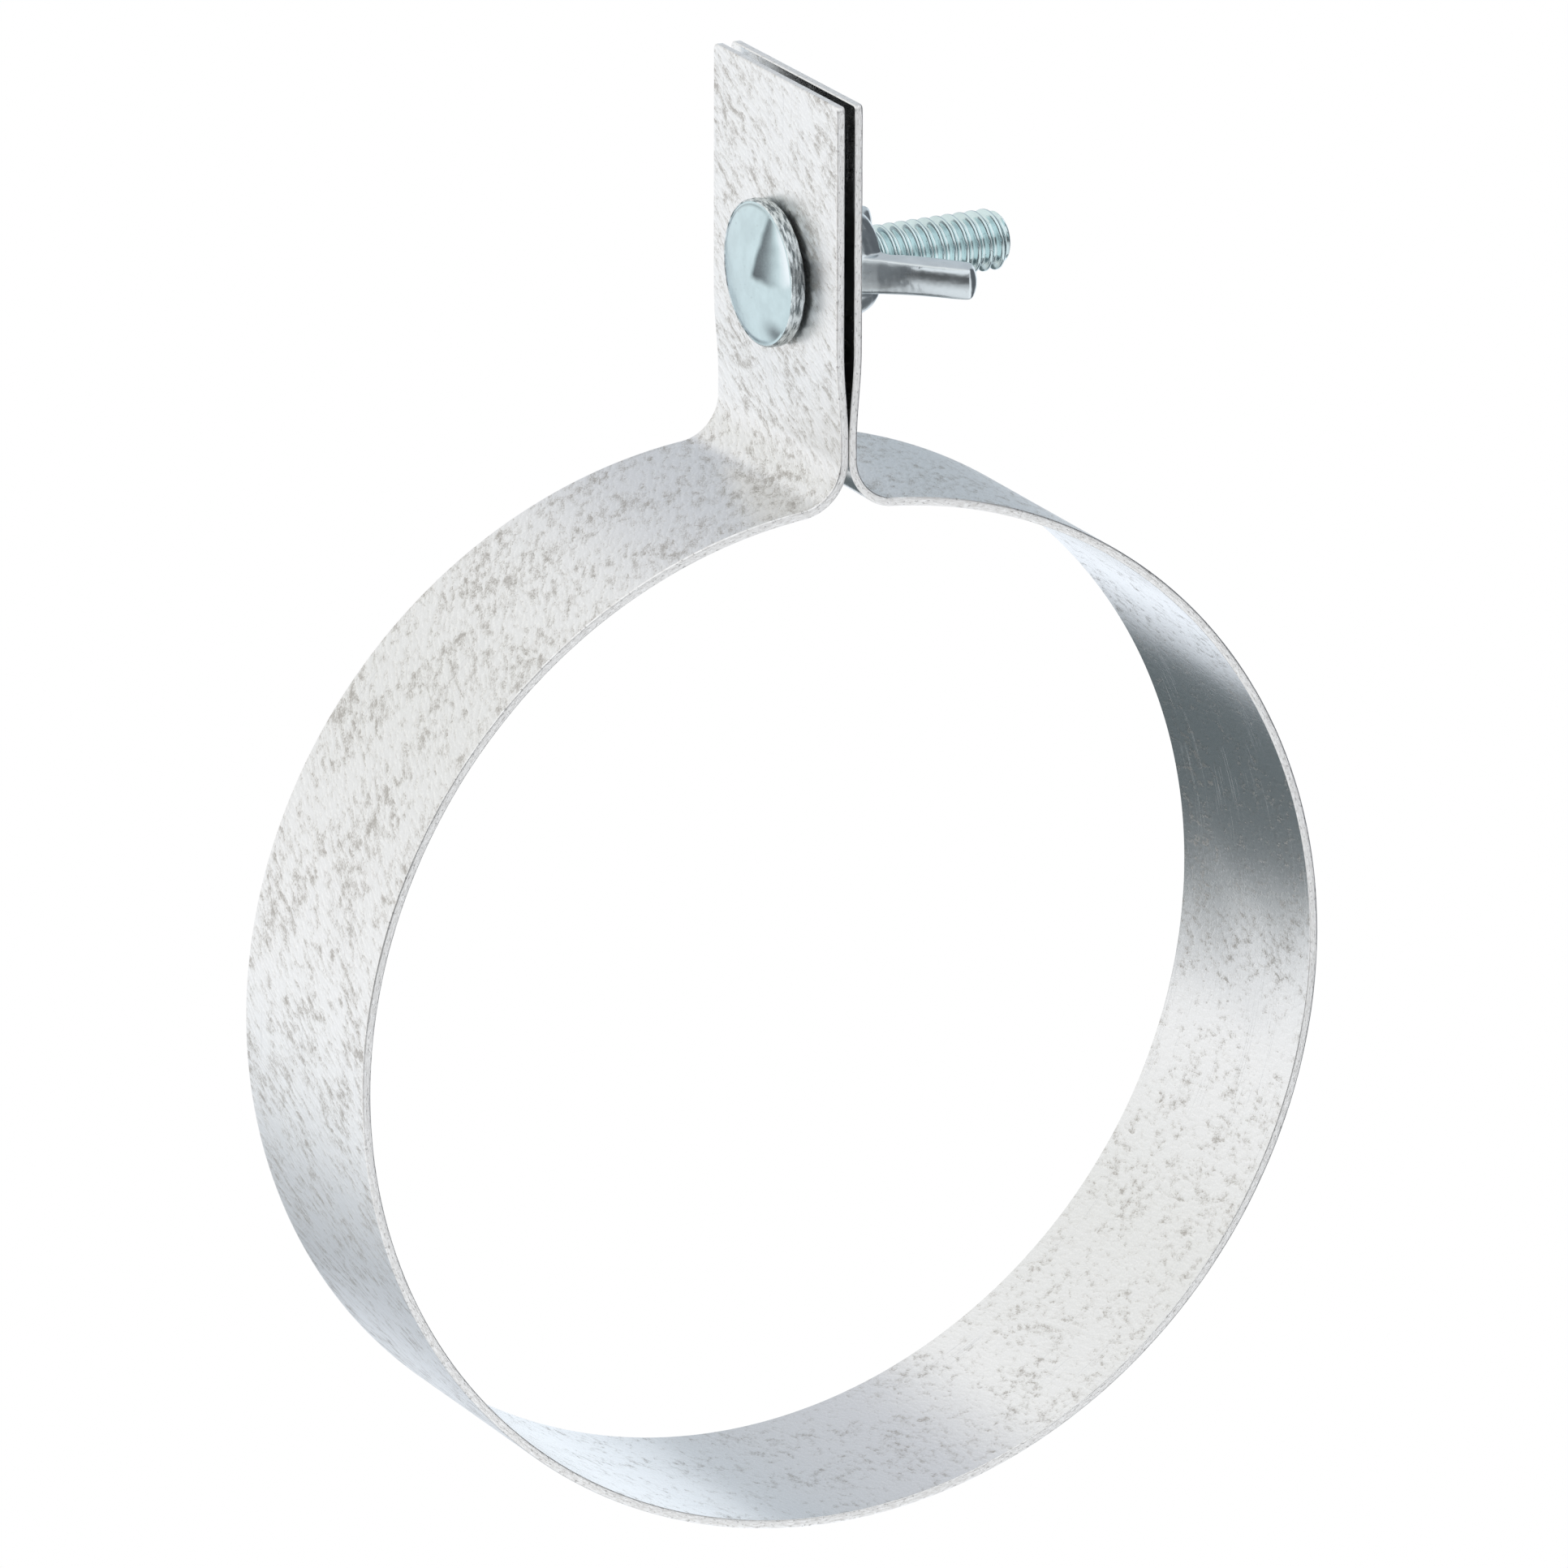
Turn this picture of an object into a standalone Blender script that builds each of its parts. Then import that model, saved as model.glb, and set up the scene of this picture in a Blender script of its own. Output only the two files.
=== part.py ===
"""Sheet-steel hose clamp: a strap bent to a hoop with two ears, drawn shut by a bolt and a wing nut.

The hoop's axis is Y and its centre is the origin. The ears stand up along +Z. The carriage bolt runs
along +X, with its head on the -X ear and the wing nut on the +X ear. The strap is one spring, which
flexes as a whole. It is built here as two rigid halves that meet at the lowest point of the hoop.
"""

import math

import bmesh
import bpy
from mathutils import Matrix, Vector

# Driving dimensions, in metres
CLEARANCE = 0.0003

HOOP_BORE_RADIUS = 0.0508
STRAP_WIDTH = 0.0254
STRAP_THICKNESS = 0.00085
EAR_TOP = 0.0906
EAR_BEND_RADIUS = 0.0048
EAR_ROOT_GAP = CLEARANCE
EAR_TIP_GAP = 0.00105
EAR_LEAN_HEIGHT = 0.010

BOLT_HEIGHT = 0.0713
SHANK_RADIUS = 0.00305
BOLT_LENGTH = 0.0242
TIP_CHAMFER = 0.0009
HEAD_RADIUS = 0.0072
HEAD_RIM = 0.0013
HEAD_DOME = 0.00075
HEAD_EDGE = 0.0003
HEAD_GAP = 0.00035
NECK_SIDE = 0.0063
NECK_LENGTH = 0.0019

SQUARE_HOLE_SIDE = 0.0070
ROUND_HOLE_RADIUS = 0.0037

NUT_BORE_RADIUS = 0.0034
NUT_BASE_RADIUS = 0.0059
NUT_SHOULDER_RADIUS = 0.0053
NUT_TOP_RADIUS = 0.0045
NUT_SHOULDER = 0.0056
NUT_HEIGHT = 0.0066
WING_THICKNESS = 0.0031
WING_EDGE = 0.0007

HOOP_STEPS = 44
BEND_STEPS = 8
ROUND_STEPS = 40

# Worked out from the driving dimensions
STRAP_RADIUS = HOOP_BORE_RADIUS + STRAP_THICKNESS / 2
FLEX_LINE = Vector((0.0, 0.0, -STRAP_RADIUS))
EAR_ROOT_X = (EAR_ROOT_GAP + STRAP_THICKNESS) / 2
EAR_TIP_X = (EAR_TIP_GAP + STRAP_THICKNESS) / 2
EAR_OUTER_X = EAR_TIP_X + STRAP_THICKNESS / 2
HEAD_UNDERSIDE_X = -EAR_OUTER_X - HEAD_GAP
NUT_BASE_X = EAR_OUTER_X + CLEARANCE
BOLT_PIVOT = Vector((-EAR_TIP_X, 0.0, BOLT_HEIGHT))
NUT_CENTRE = Vector((NUT_BASE_X, 0.0, BOLT_HEIGHT))

GALVANISED = ((0.78, 0.79, 0.80), 0.42)
BRIGHT_ZINC = ((0.74, 0.79, 0.81), 0.22)


def clear_scene():
    for old in list(bpy.data.objects):
        bpy.data.objects.remove(old, do_unlink=True)


def metal(name, colour, roughness):
    material = bpy.data.materials.new(name)
    material.use_nodes = True
    shader = material.node_tree.nodes["Principled BSDF"]
    shader.inputs["Base Color"].default_value = (*colour, 1.0)
    shader.inputs["Metallic"].default_value = 1.0
    shader.inputs["Roughness"].default_value = roughness
    return material


def new_object(name, mesh_builder, origin=Vector(), material=None):
    """Makes an object from a bmesh drawn in world coordinates, and moves its origin to a joint's axis."""
    bmesh.ops.recalc_face_normals(mesh_builder, faces=mesh_builder.faces)
    mesh_builder.transform(Matrix.Translation(-origin))
    mesh = bpy.data.meshes.new(name)
    mesh_builder.to_mesh(mesh)
    mesh_builder.free()
    mesh.shade_smooth()
    mesh.set_sharp_from_angle(angle=math.radians(30))
    if material:
        mesh.materials.append(material)
    made = bpy.data.objects.new(name, mesh)
    made.location = origin
    bpy.context.scene.collection.objects.link(made)
    return made


def combine(target, helper, operation):
    """Adds a Boolean that joins or cuts the helper, which stays out of the model itself."""
    helper.hide_render = True
    helper.display_type = "WIRE"
    modifier = target.modifiers.new(helper.name, "BOOLEAN")
    modifier.operation = operation
    modifier.solver = "EXACT"
    modifier.object = helper


def extrude_outline(points, direction):
    """A prism: a flat outline of 3-D points, swept along a vector."""
    shape = bmesh.new()
    face = shape.faces.new([shape.verts.new(point) for point in points])
    swept = bmesh.ops.extrude_face_region(shape, geom=[face])
    moved = [item for item in swept["geom"] if isinstance(item, bmesh.types.BMVert)]
    bmesh.ops.translate(shape, verts=moved, vec=direction)
    return shape


def turn_profile(profile, steps=ROUND_STEPS):
    """A solid of revolution about the bolt's axis, from (x, radius) points; radius 0 closes an end."""
    shape = bmesh.new()
    rings = []
    for x, radius in profile:
        if radius == 0:
            rings.append([shape.verts.new((x, 0.0, BOLT_HEIGHT))])
            continue
        angles = [2 * math.pi * i / steps for i in range(steps)]
        rings.append([
            shape.verts.new((x, radius * math.cos(a), BOLT_HEIGHT + radius * math.sin(a))) for a in angles
        ])
    pairs = list(zip(rings, rings[1:]))
    if profile[0][1] > 0:
        pairs.append((rings[-1], rings[0]))
    for first, second in pairs:
        for i in range(steps):
            j = (i + 1) % steps
            near = [first[i % len(first)], first[j % len(first)]]
            far = [second[j % len(second)], second[i % len(second)]]
            shape.faces.new(list(dict.fromkeys(near + far)))
    return shape


def arc(centre, radius, start, end, steps):
    """Points and outward directions along an arc in the XZ plane; angles from +X towards +Z."""
    angles = [start + (end - start) * i / steps for i in range(steps + 1)]
    return [
        (centre + radius * Vector((math.cos(a), 0, math.sin(a))), Vector((math.cos(a), 0, math.sin(a))))
        for a in angles
    ]


def strap_line():
    """Mid-sheet points of the +X half, from the flex line to the ear's top, with their outward directions."""
    bend_x = EAR_ROOT_X + EAR_BEND_RADIUS
    bend_z = math.sqrt((STRAP_RADIUS + EAR_BEND_RADIUS) ** 2 - bend_x**2)
    meeting_angle = math.atan2(bend_z, bend_x)
    seam_angle = math.asin(CLEARANCE / 2 / STRAP_RADIUS) - math.pi / 2
    line = arc(Vector(), STRAP_RADIUS, seam_angle, meeting_angle, HOOP_STEPS)
    bend = arc(Vector((bend_x, 0, bend_z)), EAR_BEND_RADIUS, meeting_angle + math.pi, math.pi, BEND_STEPS)
    line += [(point, -outward) for point, outward in bend[1:]]
    outward = Vector((1, 0, 0))
    line.append((Vector((EAR_TIP_X, 0, bend_z + EAR_LEAN_HEIGHT)), outward))
    line.append((Vector((EAR_TIP_X, 0, EAR_TOP)), outward))
    return line


def strap_half(name, side, origin, material):
    """One half of the strap: side is +1 for the nut's half and -1 for the bolt head's."""
    line = strap_line()
    half = STRAP_THICKNESS / 2
    outline = [point + outward * half for point, outward in line]
    outline += [point - outward * half for point, outward in reversed(line)]
    points = [Vector((side * point.x, -STRAP_WIDTH / 2, point.z)) for point in outline]
    return new_object(name, extrude_outline(points, Vector((0, STRAP_WIDTH, 0))), origin, material)


def block(x_range, half_side):
    """A square bar along the bolt's axis."""
    low, high = x_range
    corners = [(-1, -1), (1, -1), (1, 1), (-1, 1)]
    points = [Vector((low, y * half_side, BOLT_HEIGHT + z * half_side)) for y, z in corners]
    return extrude_outline(points, Vector((high - low, 0, 0)))


def cut_square_hole(ear):
    hole = new_object("square_hole_cutter", block((-2 * EAR_OUTER_X, 0.0), SQUARE_HOLE_SIDE / 2))
    combine(ear, hole, "DIFFERENCE")


def cut_round_hole(ear):
    far_x = 2 * EAR_OUTER_X
    profile = [(0.0, 0.0), (0.0, ROUND_HOLE_RADIUS), (far_x, ROUND_HOLE_RADIUS), (far_x, 0.0)]
    combine(ear, new_object("round_hole_cutter", turn_profile(profile)), "DIFFERENCE")


def head_profile():
    """The low domed head, from its top on the axis to the edge of its underside."""
    rim_x = HEAD_UNDERSIDE_X - HEAD_RIM
    sphere_radius = (HEAD_RADIUS**2 + HEAD_DOME**2) / (2 * HEAD_DOME)
    dome = []
    for i in range(5):
        radius = HEAD_RADIUS * i / 5
        rise = math.sqrt(sphere_radius**2 - radius**2) - (sphere_radius - HEAD_DOME)
        dome.append((rim_x - rise, radius))
    return dome + [
        (rim_x, HEAD_RADIUS - HEAD_EDGE),
        (rim_x + HEAD_EDGE, HEAD_RADIUS),
        (HEAD_UNDERSIDE_X - HEAD_EDGE, HEAD_RADIUS),
        (HEAD_UNDERSIDE_X, HEAD_RADIUS - HEAD_EDGE),
    ]


def carriage_bolt(material):
    tip_x = HEAD_UNDERSIDE_X + BOLT_LENGTH
    shank = [
        (HEAD_UNDERSIDE_X, SHANK_RADIUS),
        (tip_x - TIP_CHAMFER, SHANK_RADIUS),
        (tip_x, SHANK_RADIUS - TIP_CHAMFER),
        (tip_x, 0.0),
    ]
    bolt = new_object("carriage_bolt", turn_profile(head_profile() + shank), BOLT_PIVOT, material)
    neck_range = (HEAD_UNDERSIDE_X - HEAD_RIM / 2, HEAD_UNDERSIDE_X + NECK_LENGTH)
    combine(bolt, new_object("square_neck", block(neck_range, NECK_SIDE / 2)), "UNION")
    return bolt


def nut_hub(material):
    profile = [
        (NUT_BASE_X, NUT_BORE_RADIUS),
        (NUT_BASE_X, NUT_BASE_RADIUS),
        (NUT_BASE_X + NUT_SHOULDER, NUT_SHOULDER_RADIUS),
        (NUT_BASE_X + NUT_HEIGHT, NUT_TOP_RADIUS),
        (NUT_BASE_X + NUT_HEIGHT, NUT_BORE_RADIUS),
    ]
    return new_object("wing_nut", turn_profile(profile), NUT_CENTRE, material)


def wing_outline():
    """One wing's outline: height above the nut's base, and distance from the bolt's axis."""
    root = [(0.0063, 0.0041), (0.0030, 0.0045)]
    outer_edge = [(0.0044, 0.0060), (0.0106, 0.0126)]
    tip_outside = [(0.0113, 0.0133), (0.0122, 0.0136), (0.0131, 0.0131)]
    tip_inside = [(0.0139, 0.0118), (0.0141, 0.0109), (0.0137, 0.0100)]
    inner_edge = [(0.0112, 0.0077), (0.0082, 0.0053)]
    return root + outer_edge + tip_outside + tip_inside + inner_edge


def add_wing(hub, side, name):
    """Joins one wing to the hub: side is -1 for the wing towards -Y, and +1 for the other."""
    z = BOLT_HEIGHT - WING_THICKNESS / 2
    points = [Vector((NUT_BASE_X + x, side * radius, z)) for x, radius in wing_outline()]
    wing = extrude_outline(points, Vector((0, 0, WING_THICKNESS)))
    rims = [edge for edge in wing.edges if abs(edge.verts[0].co.z - edge.verts[1].co.z) < CLEARANCE]
    bmesh.ops.bevel(wing, geom=rims, offset=WING_EDGE, segments=2, profile=0.5, affect="EDGES")
    combine(hub, new_object(name, wing), "UNION")


def build():
    clear_scene()
    galvanised = metal("galvanised_steel", *GALVANISED)
    zinc = metal("bright_zinc_plate", *BRIGHT_ZINC)
    cut_round_hole(strap_half("strap_nut_side", 1, Vector(), galvanised))
    cut_square_hole(strap_half("strap_bolt_side", -1, FLEX_LINE, galvanised))
    carriage_bolt(zinc)
    nut = nut_hub(zinc)
    add_wing(nut, -1, "front_wing")
    add_wing(nut, 1, "rear_wing")


build()
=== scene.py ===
"""The looks of the hose clamp: galvanised strap, zinc-plated bolt and wing nut, in a white studio."""

import math

import bmesh
import bpy
from mathutils import Matrix, Vector, noise


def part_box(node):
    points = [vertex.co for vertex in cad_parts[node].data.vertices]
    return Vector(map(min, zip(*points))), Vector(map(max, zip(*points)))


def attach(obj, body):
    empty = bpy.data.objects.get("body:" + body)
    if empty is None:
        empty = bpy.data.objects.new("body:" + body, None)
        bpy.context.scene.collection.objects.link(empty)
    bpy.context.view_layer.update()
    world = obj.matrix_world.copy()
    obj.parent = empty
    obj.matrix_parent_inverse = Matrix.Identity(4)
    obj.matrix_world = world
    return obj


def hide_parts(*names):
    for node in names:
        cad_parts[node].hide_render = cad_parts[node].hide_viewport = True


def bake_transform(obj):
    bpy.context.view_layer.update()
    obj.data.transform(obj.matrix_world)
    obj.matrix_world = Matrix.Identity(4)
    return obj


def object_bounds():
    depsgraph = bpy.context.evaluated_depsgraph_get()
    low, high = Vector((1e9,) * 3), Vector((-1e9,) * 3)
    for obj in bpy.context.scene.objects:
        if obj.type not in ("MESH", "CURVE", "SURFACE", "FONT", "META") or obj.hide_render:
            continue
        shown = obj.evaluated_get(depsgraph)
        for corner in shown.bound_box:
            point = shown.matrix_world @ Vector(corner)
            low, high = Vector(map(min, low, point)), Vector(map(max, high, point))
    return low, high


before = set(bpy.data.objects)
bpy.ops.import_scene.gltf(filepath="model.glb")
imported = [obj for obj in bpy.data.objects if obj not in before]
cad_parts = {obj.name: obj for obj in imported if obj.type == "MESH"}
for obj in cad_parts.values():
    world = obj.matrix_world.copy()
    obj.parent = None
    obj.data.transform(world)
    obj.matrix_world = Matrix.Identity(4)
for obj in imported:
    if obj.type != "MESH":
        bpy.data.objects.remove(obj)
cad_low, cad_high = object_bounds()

MM = 0.001
SHARP_DEGREES = 38

# The strap, from the frame and the sheet's own thickness
STRAP_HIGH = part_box("strap_nut_side")[1]
SHEET = 0.85 * MM
HOOP_RADIUS = STRAP_HIGH.x - SHEET / 2
HALF_WIDTH = STRAP_HIGH.y
EAR_TOP = STRAP_HIGH.z
HALF_ROOT_GAP = 0.03 * MM
EAR_ROOT_X = SHEET / 2 + HALF_ROOT_GAP
EAR_TIP_X = 0.95 * MM
EAR_OUTER_X = EAR_TIP_X + SHEET / 2
EAR_BEND = 4.8 * MM
EAR_LEAN_FROM = 57.5 * MM
EAR_LEAN_TO = 66.5 * MM
SQUARE_HOLE = 7.0 * MM
ROUND_HOLE = 3.7 * MM

# The sheet's outline, its sheared edges, and its material slots
CORNER_RADIUS = 0.55 * MM
OUTER_EDGE_ROUND = 0.17 * MM
INNER_EDGE_ROUND = 0.11 * MM
BORDER_GAP = 0.03 * MM
EDGE_TEAR = 0.05 * MM
TEAR_REACH = 0.3 * MM
STRAP_STEP = 0.55 * MM
CAP_PLACE = 400.0
OUTSIDE, INSIDE, EDGE = range(3)

# The bolt
BOLT_LOW, BOLT_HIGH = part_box("carriage_bolt")
AXIS_Z = (BOLT_LOW.z + BOLT_HIGH.z) / 2
HEAD_RADIUS = BOLT_HIGH.y
HEAD_STAND_OFF = 0.36 * MM
HEAD_BACK_X = -EAR_OUTER_X - HEAD_STAND_OFF
HEAD_RIM = 1.45 * MM
HEAD_DOME = 0.62 * MM
HEAD_EDGE_ROUND = 0.3 * MM
HEAD_EDGE_DROP = 0.10 * MM
NECK_SIDE = 6.3 * MM
NECK_LENGTH = 1.9 * MM
NECK_INTO_HEAD = 0.3 * MM
NECK_INTO_SHANK = 0.1 * MM
NECK_CORNER = 0.4 * MM
BOLT_FORWARD = 0.35 * MM
THREAD_RADIUS = 3.0 * MM
THREAD_DEPTH = 0.62 * MM
THREAD_PITCH = 1.27 * MM
THREAD_CHAMFER = 0.75 * MM
THREAD_WEAR = 0.02 * MM
THREAD_STEP = 0.085 * MM

# The fold in the head's face, with its painted shade and highlight, and a darker patch, in millimetres from
# the bolt's axis
FOLD_REACH = 6.9
FOLD_LEAN = 0.4
FOLD_DROP = 0.3
DARK_PATCH_Y, DARK_PATCH_Z = -3.9, -5.0

# The nut
NUT_STAND_OFF = 0.02 * MM
NUT_BASE_X = EAR_OUTER_X + NUT_STAND_OFF
THREAD_CLEARANCE = 0.27 * MM
NUT_BORE = THREAD_RADIUS + THREAD_CLEARANCE
NUT_VOXEL = 0.14 * MM
WING_HALF_THICKNESS = 1.55 * MM

# A wing's outline, as (height over the nut's base, distance from the bolt's axis) in millimetres.
# Its first two points are inside the hub.
WING_OUTLINE = [
    (6.3, 4.3), (0.9, 4.3),
    (2.6, 5.2), (3.6, 5.75), (4.8, 6.65), (6.4, 8.15), (8.5, 10.25), (10.4, 12.2),
    (10.8, 12.55), (11.35, 12.85), (11.9, 12.75), (12.4, 12.25), (12.85, 11.5), (13.1, 10.8), (13.05, 10.15),
    (12.6, 9.5), (11.2, 8.1), (9.2, 6.35), (8.0, 5.55), (7.1, 5.2),
]

# A wing's rounded rim, as (share of half the thickness, millimetres in from the outline)
HALF_FLANK = [
    (0.0, 0.0), (0.2, 0.01), (0.4, 0.05), (0.6, 0.12), (0.75, 0.19), (0.85, 0.25),
    (0.93, 0.34), (0.97, 0.44), (1.0, 0.60),
]
WING_FLANK = [(-level, inset) for level, inset in reversed(HALF_FLANK[1:])] + HALF_FLANK

# The metals
HEAD_TINT = (0.60, 0.73, 0.76, 1)
SHANK_TINT = (0.72, 0.86, 0.87, 1)
NUT_TINT = (0.78, 0.84, 0.86, 1)
# The shift of the fleck noise whose difference paints light on one side of each fleck and shade on the other
PAINTED_EMBOSS_SHIFT = (0.16, 0.13, 0.0)

# The camera, far off with a long lens
CAMERA_AZIMUTH = -27.6
CAMERA_ELEVATION = 18.5
CAMERA_ROLL = 0.12
CAMERA_DISTANCE = 1550.3 * MM
CAMERA_LENS = 369.4
AIM_RIGHT = -0.49 * MM
AIM_UP = 18.68 * MM
AIM_SHIFT_X = 0.3 * MM

# The studio round the clamp: cards as (x, z) corners, and the tones of its walls
STUDIO_RADIUS = 12.0
FLOOR_DROP = 0.5 * MM
CARD_DEPTH = 0.15
# The dark card is a painted shadow: the clamp's shadow on the table behind it, seen only in reflections,
# fading out towards -X
DARK_CARD = ((-0.052, -0.105), (0.053, -0.028))
GREY_CARD = ((0.092, 0.012), (0.145, 0.115))
SHADOW_NEAR_X = -25 * MM
SHADOW_FAR_X = -46 * MM

# Behind the clamp, as (degrees from straight up towards +X, colour)
BEHIND_TONES = [
    (0, (0.97, 0.975, 0.97)), (8, (0.82, 0.83, 0.845)), (18, (0.66, 0.68, 0.72)),
    (45, (0.60, 0.63, 0.67)), (66, (0.56, 0.61, 0.66)), (73, (0.80, 0.86, 0.92)),
    (84, (0.90, 0.97, 1.04)), (104, (0.98, 1.05, 1.12)), (136, (0.84, 0.89, 0.94)),
    (150, (1.04, 1.10, 1.18)), (160, (0.94, 1.0, 1.07)), (170, (0.66, 0.70, 0.75)),
    (184, (0.49, 0.53, 0.575)), (207, (0.53, 0.57, 0.61)), (216, (0.97, 1.0, 1.02)),
    (226, (1.02, 1.04, 1.06)), (262, (1.01, 1.015, 1.02)), (290, (0.94, 0.945, 0.94)),
    (312, (0.90, 0.905, 0.89)), (345, (0.93, 0.935, 0.93)),
]

# On the camera's side, left and right of the middle, as (height of the direction, value)
LEFT_TONES = [
    (-1, 0.82), (-0.6, 0.92), (-0.4, 0.84), (-0.25, 0.5), (-0.1, 0.15), (0.15, 0.11), (0.28, 0.3),
    (0.42, 0.98), (1, 1.06),
]
RIGHT_TONES = [
    (-1, 1.0), (-0.6, 1.06), (-0.3, 1.04), (0, 0.86), (0.25, 0.72), (0.45, 0.86), (0.6, 1.02), (1, 1.08),
]
DARK_SIDE = (0.13, 0.14, 0.155, 1)


# Mesh helpers


def new_piece(name, shape, materials, sharp_degrees=SHARP_DEGREES):
    """Makes an object from a bmesh drawn in the row frame."""
    mesh = bpy.data.meshes.new(name)
    bmesh.ops.recalc_face_normals(shape, faces=shape.faces)
    shape.to_mesh(mesh)
    shape.free()
    for material in materials:
        mesh.materials.append(material)
    mesh.shade_smooth()
    mesh.set_sharp_from_angle(angle=math.radians(sharp_degrees))
    piece = bpy.data.objects.new(name, mesh)
    bpy.context.scene.collection.objects.link(piece)
    return piece


def apply_modifiers(piece):
    """Replaces the piece's mesh by the one that its modifiers make."""
    bpy.context.view_layer.update()
    graph = bpy.context.evaluated_depsgraph_get()
    made = bpy.data.meshes.new_from_object(piece.evaluated_get(graph))
    piece.modifiers.clear()
    piece.data = made


def bridge(shape, first, second):
    """Quads between two closed rings of the same number of vertices, each with its place in the ring."""
    count = len(first)
    made = []
    for i in range(count):
        j = (i + 1) % count
        made.append((i, shape.faces.new((first[i], first[j], second[j], second[i]))))
    return made


def roughen(mesh, *waves):
    """Moves each vertex along its normal, by a noise of each given (height, frequency per millimetre)."""
    normals = [normal.vector.copy() for normal in mesh.vertex_normals]
    for vertex, normal in zip(mesh.vertices, normals):
        place = vertex.co / MM
        vertex.co += normal * sum(height * noise.noise(place * frequency) for height, frequency in waves)


def smooth_step(value, low, high):
    """0 up to low, 1 from high on, and a smooth rise between them."""
    share = min(max((value - low) / (high - low), 0.0), 1.0)
    return share * share * (3 - 2 * share)


def cut(piece, shape):
    """Cuts a closed shape out of the piece, and removes the cutter."""
    cutter = new_piece("cutter", shape, [])
    modifier = piece.modifiers.new("cut", "BOOLEAN")
    modifier.operation = "DIFFERENCE"
    modifier.solver = "EXACT"
    modifier.object = cutter
    apply_modifiers(piece)
    bpy.data.objects.remove(cutter)
    piece.data.set_sharp_from_angle(angle=math.radians(SHARP_DEGREES))


def angles_round(steps):
    """Even angles round a full turn."""
    return [2 * math.pi * i / steps for i in range(steps)]


def around(x, radius, angle):
    """A place round the bolt's axis."""
    return Vector((x, radius * math.cos(angle), AXIS_Z + radius * math.sin(angle)))


def bar_along_x(x_low, x_high, half_side, sides, turn=0.0):
    """A prism along the bolt's axis, with the given number of sides and half_side as its inner radius."""
    shape = bmesh.new()
    radius = half_side / math.cos(math.pi / sides)
    rings = []
    for x in (x_low, x_high):
        rings.append([shape.verts.new(around(x, radius, turn + a)) for a in angles_round(sides)])
    bridge(shape, *rings)
    for ring in rings:
        shape.faces.new(ring)
    return shape


# The strap


class StrapLine:
    """The middle of the sheet on the +X side, by its length from the lowest point of the hoop."""

    def __init__(self):
        self.bend_x = EAR_ROOT_X + EAR_BEND
        self.bend_z = math.sqrt((HOOP_RADIUS + EAR_BEND) ** 2 - self.bend_x**2)
        self.meeting = math.atan2(self.bend_z, self.bend_x)
        self.hoop_length = HOOP_RADIUS * (self.meeting + math.pi / 2)
        self.bend_length = EAR_BEND * self.meeting
        self.length = self.hoop_length + self.bend_length + EAR_TOP - self.bend_z

    def point(self, along):
        """A place on the line: first the hoop, then the bend, then the ear."""
        if along <= self.hoop_length:
            angle = along / HOOP_RADIUS - math.pi / 2
            return Vector((HOOP_RADIUS * math.cos(angle), 0, HOOP_RADIUS * math.sin(angle)))
        along -= self.hoop_length
        if along <= self.bend_length:
            angle = math.pi + self.meeting - along / EAR_BEND
            x = self.bend_x + EAR_BEND * math.cos(angle)
            z = self.bend_z + EAR_BEND * math.sin(angle)
            return Vector((x, 0, z))
        z = self.bend_z + along - self.bend_length
        lean = smooth_step(z, EAR_LEAN_FROM, EAR_LEAN_TO)
        return Vector((EAR_ROOT_X + (EAR_TIP_X - EAR_ROOT_X) * lean, 0, z))

    def outward(self, along):
        """The direction out of the hoop, and away from the other ear."""
        step = 0.02 * MM
        ahead = self.point(min(along + step, self.length)) - self.point(max(along - step, 0.0))
        return Vector((ahead.z, 0, -ahead.x)).normalized()


LINE = StrapLine()


def across_face(half_width):
    """Places across one face of the sheet, closer together towards its borders."""
    steps = 14
    shares = [i / steps - 0.5 for i in range(steps + 1)]
    inner = half_width - BORDER_GAP
    places = [inner * (0.5 * math.sin(share * math.pi) + share) for share in shares]
    return [-half_width, *places, half_width]


def sheet_section(half_width, half_thickness):
    """The sheet's outline across its width, as (across, out, slot) points."""
    outer = min(OUTER_EDGE_ROUND, half_thickness)
    inner = min(INNER_EDGE_ROUND, half_thickness)

    def corner(side, radius, face):
        points = []
        for i in range(1, 4):
            angle = math.pi / 2 * i / 4
            across = half_width - radius + radius * math.sin(angle)
            out = half_thickness - radius + radius * math.cos(angle)
            points.append((side * across, face * out, EDGE))
        return points

    edge = [0.6, 0.2, -0.2, -0.7]
    points = [(across, half_thickness, OUTSIDE) for across in across_face(half_width - outer)]
    points += corner(1, outer, 1)
    points += [(half_width, share * half_thickness, EDGE) for share in edge]
    points += reversed(corner(1, inner, -1))
    points += [(-across, -half_thickness, INSIDE) for across in across_face(half_width - inner)]
    points += corner(-1, inner, -1)
    points += [(-half_width, share * half_thickness, EDGE) for share in reversed(edge)]
    points += reversed(corner(-1, outer, 1))
    return points


def stations(start, end):
    """Lengths along the strap, closer together at both ends, so that pieces meet with matching normals."""
    fine = [0.0, 0.03, 0.08, 0.15, 0.24, 0.34, 0.45, 0.58, 0.75]
    low = [start + gap * MM for gap in fine]
    high = [end - gap * MM for gap in reversed(fine)]
    count = round((high[0] - low[-1]) / STRAP_STEP)
    middle = [low[-1] + (high[0] - low[-1]) * i / count for i in range(1, count)]
    return low + middle + high


def rounded(distance, radius):
    """How much of a corner of this radius is missing at this distance from the end."""
    if distance >= radius:
        return 0.0
    return radius - math.sqrt(max(radius**2 - (radius - distance) ** 2, 0.0))


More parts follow.
